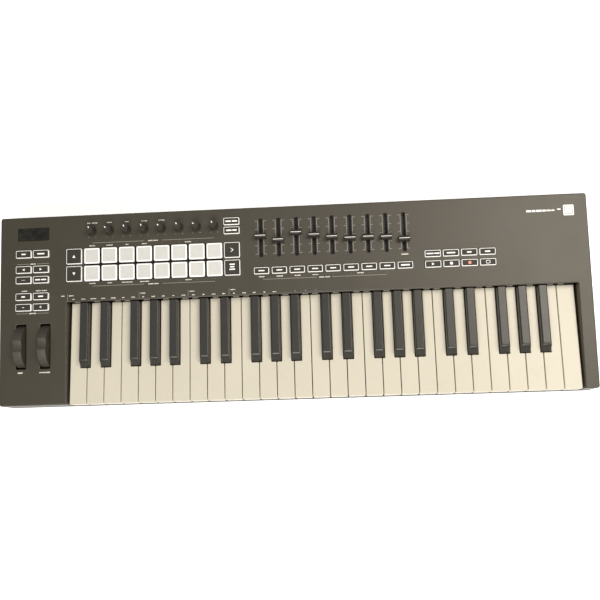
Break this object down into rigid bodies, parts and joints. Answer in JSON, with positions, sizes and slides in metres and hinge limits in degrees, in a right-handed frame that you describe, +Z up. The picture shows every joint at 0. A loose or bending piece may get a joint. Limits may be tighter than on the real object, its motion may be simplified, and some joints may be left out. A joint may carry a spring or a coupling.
{
  "type": "midi keyboard",
  "caption": "Keyboard controller with piano-size keys, a sloped panel of pads, knobs, faders and buttons, two wheels and rear sockets.",
  "frame": {"origin": "under the middle of the case, on the surface that the feet stand on", "axes": "+X to the player's right along the keys, +Y to the rear, +Z up"},
  "size_m": [0.7968, 0.258, 0.0769],
  "materials": {
    "case_top": "matte textured charcoal",
    "case_bottom": "matte textured dark",
    "foot_rubber": "soft black rubber",
    "screw_steel": "zinc plated",
    "chassis_steel": "dark painted steel",
    "rod_steel": "ground",
    "spring_steel": "drawn wire",
    "circuit_board": "solder mask",
    "dome_rubber": "soft grey rubber",
    "felt": "pressed felt",
    "pot_metal": "pressed sheet",
    "bracket_steel": "pressed sheet",
    "window": "glossy dark window",
    "display_glass": "display glass",
    "socket_metal": "plated shell",
    "socket_black": "black moulded",
    "white_key": "satin gloss ivory",
    "black_key": "satin charcoal",
    "wheel_plastic": "soft matte",
    "pad_silicone": "translucent white silicone",
    "button_silicone": "dark painted silicone, light rim",
    "knob_plastic": "soft touch dark",
    "fader_plastic": "satin dark"
  },
  "bodies": {
    "case": {"top_shell": "case_top", "bottom_shell": "case_bottom", "rubber_feet": "foot_rubber", "case_screws": "screw_steel", "key_chassis": "chassis_steel", "key_pivot_rod": "rod_steel", "key_springs": "spring_steel", "key_contact_board": "circuit_board", "contact_domes": "dome_rubber", "key_felts": "felt", "main_board": "circuit_board", "control_board": "circuit_board", "slide_pots": "pot_metal", "rotary_pots": "pot_metal", "wheel_bracket": "bracket_steel", "display_window": "window", "display_module": "display_glass", "usb_socket": "socket_metal", "midi_socket": "socket_black", "pedal_jack": "socket_black"},
    "keys_c": {"keys_c": "white_key"},
    "keys_c_sharp": {"keys_c_sharp": "black_key"},
    "keys_d": {"keys_d": "white_key"},
    "keys_d_sharp": {"keys_d_sharp": "black_key"},
    "keys_e": {"keys_e": "white_key"},
    "keys_f": {"keys_f": "white_key"},
    "keys_f_sharp": {"keys_f_sharp": "black_key"},
    "keys_g": {"keys_g": "white_key"},
    "keys_g_sharp": {"keys_g_sharp": "black_key"},
    "keys_a": {"keys_a": "white_key"},
    "keys_a_sharp": {"keys_a_sharp": "black_key"},
    "keys_b": {"keys_b": "white_key"},
    "pitch_wheel": {"pitch_wheel": "wheel_plastic"},
    "mod_wheel": {"mod_wheel": "wheel_plastic"},
    "pads_upper": {"pads_upper": "pad_silicone"},
    "pads_lower": {"pads_lower": "pad_silicone"},
    "left_buttons": {"left_buttons": "button_silicone"},
    "bank_buttons": {"bank_buttons": "button_silicone"},
    "launch_buttons": {"launch_buttons": "button_silicone"},
    "device_buttons": {"device_buttons": "button_silicone"},
    "fader_buttons": {"fader_buttons": "button_silicone"},
    "transport_upper": {"transport_upper": "button_silicone"},
    "transport_lower": {"transport_lower": "button_silicone"},
    "knob_1": {"knob_1": "knob_plastic"},
    "knob_2": {"knob_2": "knob_plastic"},
    "knob_3": {"knob_3": "knob_plastic"},
    "knob_4": {"knob_4": "knob_plastic"},
    "knob_5": {"knob_5": "knob_plastic"},
    "knob_6": {"knob_6": "knob_plastic"},
    "knob_7": {"knob_7": "knob_plastic"},
    "knob_8": {"knob_8": "knob_plastic"},
    "fader_1": {"fader_1": "fader_plastic"},
    "fader_2": {"fader_2": "fader_plastic"},
    "fader_3": {"fader_3": "fader_plastic"},
    "fader_4": {"fader_4": "fader_plastic"},
    "fader_5": {"fader_5": "fader_plastic"},
    "fader_6": {"fader_6": "fader_plastic"},
    "fader_7": {"fader_7": "fader_plastic"},
    "fader_8": {"fader_8": "fader_plastic"},
    "fader_9": {"fader_9": "fader_plastic"}
  },
  "joints": [
    {"name": "press_keys_c", "type": "hinge", "parent": "case", "child": "keys_c", "pos_m": [0, 0.062, 0.033], "axis": [1, 0, 0], "range_deg": [0, 3], "stiffness_Nm_per_rad": 0.8, "springref_deg": -14.32},
    {"name": "press_keys_c_sharp", "type": "hinge", "parent": "case", "child": "keys_c_sharp", "pos_m": [0, 0.062, 0.033], "axis": [1, 0, 0], "range_deg": [0, 3], "stiffness_Nm_per_rad": 0.8, "springref_deg": -14.32},
    {"name": "turn_pitch_wheel", "type": "hinge", "parent": "case", "child": "pitch_wheel", "pos_m": [-0.36875, -0.04867, 0.03728], "axis": [1, 0, 0], "range_deg": [-25, 25], "stiffness_Nm_per_rad": 0.05},
    {"name": "turn_mod_wheel", "type": "hinge", "parent": "case", "child": "mod_wheel", "pos_m": [-0.3353, -0.04867, 0.03728], "axis": [1, 0, 0], "range_deg": [-25, 25]},
    {"name": "turn_knob_1", "type": "hinge", "parent": "case", "child": "knob_1", "pos_m": [-0.26995, 0.1055, 0.0621], "axis": [0, -0.0698, 0.9976], "range_deg": [-150, 150]},
    {"name": "slide_fader_1", "type": "slide", "parent": "case", "child": "fader_1", "axis": [0, 0.9976, 0.0698], "range_m": [-0.02386, 0.02125]},
    {"name": "press_pads_upper", "type": "slide", "parent": "case", "child": "pads_upper", "axis": [0, 0.0698, -0.9976], "range_m": [0, 0.0008], "stiffness_N_per_m": 2500, "springref_m": -0.001},
    {"name": "press_left_buttons", "type": "slide", "parent": "case", "child": "left_buttons", "axis": [0, 0.0698, -0.9976], "range_m": [0, 0.0012], "stiffness_N_per_m": 1200, "springref_m": -0.001},
    {"name": "press_keys_d", "type": "hinge", "parent": "case", "child": "keys_d", "pos_m": [0, 0.062, 0.033], "axis": [1, 0, 0], "range_deg": [0, 3], "stiffness_Nm_per_rad": 0.8, "springref_deg": -14.32},
    {"name": "press_keys_d_sharp", "type": "hinge", "parent": "case", "child": "keys_d_sharp", "pos_m": [0, 0.062, 0.033], "axis": [1, 0, 0], "range_deg": [0, 3], "stiffness_Nm_per_rad": 0.8, "springref_deg": -14.32},
    {"name": "press_keys_e", "type": "hinge", "parent": "case", "child": "keys_e", "pos_m": [0, 0.062, 0.033], "axis": [1, 0, 0], "range_deg": [0, 3], "stiffness_Nm_per_rad": 0.8, "springref_deg": -14.32},
    {"name": "press_keys_f", "type": "hinge", "parent": "case", "child": "keys_f", "pos_m": [0, 0.062, 0.033], "axis": [1, 0, 0], "range_deg": [0, 3], "stiffness_Nm_per_rad": 0.8, "springref_deg": -14.32},
    {"name": "press_keys_f_sharp", "type": "hinge", "parent": "case", "child": "keys_f_sharp", "pos_m": [0, 0.062, 0.033], "axis": [1, 0, 0], "range_deg": [0, 3], "stiffness_Nm_per_rad": 0.8, "springref_deg": -14.32},
    {"name": "press_keys_g", "type": "hinge", "parent": "case", "child": "keys_g", "pos_m": [0, 0.062, 0.033], "axis": [1, 0, 0], "range_deg": [0, 3], "stiffness_Nm_per_rad": 0.8, "springref_deg": -14.32},
    {"name": "press_keys_g_sharp", "type": "hinge", "parent": "case", "child": "keys_g_sharp", "pos_m": [0, 0.062, 0.033], "axis": [1, 0, 0], "range_deg": [0, 3], "stiffness_Nm_per_rad": 0.8, "springref_deg": -14.32},
    {"name": "press_keys_a", "type": "hinge", "parent": "case", "child": "keys_a", "pos_m": [0, 0.062, 0.033], "axis": [1, 0, 0], "range_deg": [0, 3], "stiffness_Nm_per_rad": 0.8, "springref_deg": -14.32},
    {"name": "press_keys_a_sharp", "type": "hinge", "parent": "case", "child": "keys_a_sharp", "pos_m": [0, 0.062, 0.033], "axis": [1, 0, 0], "range_deg": [0, 3], "stiffness_Nm_per_rad": 0.8, "springref_deg": -14.32},
    {"name": "press_keys_b", "type": "hinge", "parent": "case", "child": "keys_b", "pos_m": [0, 0.062, 0.033], "axis": [1, 0, 0], "range_deg": [0, 3], "stiffness_Nm_per_rad": 0.8, "springref_deg": -14.32},
    {"name": "turn_knob_2", "type": "hinge", "parent": "case", "child": "knob_2", "pos_m": [-0.24585, 0.1055, 0.0621], "axis": [0, -0.0698, 0.9976], "range_deg": [-150, 150]},
    {"name": "turn_knob_3", "type": "hinge", "parent": "case", "child": "knob_3", "pos_m": [-0.22175, 0.1055, 0.0621], "axis": [0, -0.0698, 0.9976], "range_deg": [-150, 150]},
    {"name": "turn_knob_4", "type": "hinge", "parent": "case", "child": "knob_4", "pos_m": [-0.19765, 0.1055, 0.0621], "axis": [0, -0.0698, 0.9976], "range_deg": [-150, 150]},
    {"name": "turn_knob_5", "type": "hinge", "parent": "case", "child": "knob_5", "pos_m": [-0.17355, 0.1055, 0.0621], "axis": [0, -0.0698, 0.9976], "range_deg": [-150, 150]},
    {"name": "turn_knob_6", "type": "hinge", "parent": "case", "child": "knob_6", "pos_m": [-0.14945, 0.1055, 0.0621], "axis": [0, -0.0698, 0.9976], "range_deg": [-150, 150]},
    {"name": "turn_knob_7", "type": "hinge", "parent": "case", "child": "knob_7", "pos_m": [-0.12535, 0.1055, 0.0621], "axis": [0, -0.0698, 0.9976], "range_deg": [-150, 150]},
    {"name": "turn_knob_8", "type": "hinge", "parent": "case", "child": "knob_8", "pos_m": [-0.10125, 0.1055, 0.0621], "axis": [0, -0.0698, 0.9976], "range_deg": [-150, 150]},
    {"name": "slide_fader_2", "type": "slide", "parent": "case", "child": "fader_2", "axis": [0, 0.9976, 0.0698], "range_m": [-0.01774, 0.02737]},
    {"name": "slide_fader_3", "type": "slide", "parent": "case", "child": "fader_3", "axis": [0, 0.9976, 0.0698], "range_m": [-0.02656, 0.01855]},
    {"name": "slide_fader_4", "type": "slide", "parent": "case", "child": "fader_4", "axis": [0, 0.9976, 0.0698], "range_m": [-0.02245, 0.02266]},
    {"name": "slide_fader_5", "type": "slide", "parent": "case", "child": "fader_5", "axis": [0, 0.9976, 0.0698], "range_m": [-0.01885, 0.02626]},
    {"name": "slide_fader_6", "type": "slide", "parent": "case", "child": "fader_6", "axis": [0, 0.9976, 0.0698], "range_m": [-0.01614, 0.02897]},
    {"name": "slide_fader_7", "type": "slide", "parent": "case", "child": "fader_7", "axis": [0, 0.9976, 0.0698], "range_m": [-0.01654, 0.02857]},
    {"name": "slide_fader_8", "type": "slide", "parent": "case", "child": "fader_8", "axis": [0, 0.9976, 0.0698], "range_m": [-0.01564, 0.02947]},
    {"name": "slide_fader_9", "type": "slide", "parent": "case", "child": "fader_9", "axis": [0, 0.9976, 0.0698], "range_m": [-0.01213, 0.03298]},
    {"name": "press_pads_lower", "type": "slide", "parent": "case", "child": "pads_lower", "axis": [0, 0.0698, -0.9976], "range_m": [0, 0.0008], "stiffness_N_per_m": 2500, "springref_m": -0.001},
    {"name": "press_bank_buttons", "type": "slide", "parent": "case", "child": "bank_buttons", "axis": [0, 0.0698, -0.9976], "range_m": [0, 0.0012], "stiffness_N_per_m": 1200, "springref_m": -0.001},
    {"name": "press_launch_buttons", "type": "slide", "parent": "case", "child": "launch_buttons", "axis": [0, 0.0698, -0.9976], "range_m": [0, 0.0012], "stiffness_N_per_m": 1200, "springref_m": -0.001},
    {"name": "press_device_buttons", "type": "slide", "parent": "case", "child": "device_buttons", "axis": [0, 0.0698, -0.9976], "range_m": [0, 0.0012], "stiffness_N_per_m": 1200, "springref_m": -0.001},
    {"name": "press_fader_buttons", "type": "slide", "parent": "case", "child": "fader_buttons", "axis": [0, 0.0698, -0.9976], "range_m": [0, 0.0012], "stiffness_N_per_m": 1200, "springref_m": -0.001},
    {"name": "press_transport_upper", "type": "slide", "parent": "case", "child": "transport_upper", "axis": [0, 0.0698, -0.9976], "range_m": [0, 0.0012], "stiffness_N_per_m": 1200, "springref_m": -0.001},
    {"name": "press_transport_lower", "type": "slide", "parent": "case", "child": "transport_lower", "axis": [0, 0.0698, -0.9976], "range_m": [0, 0.0012], "stiffness_N_per_m": 1200, "springref_m": -0.001}
  ]
}
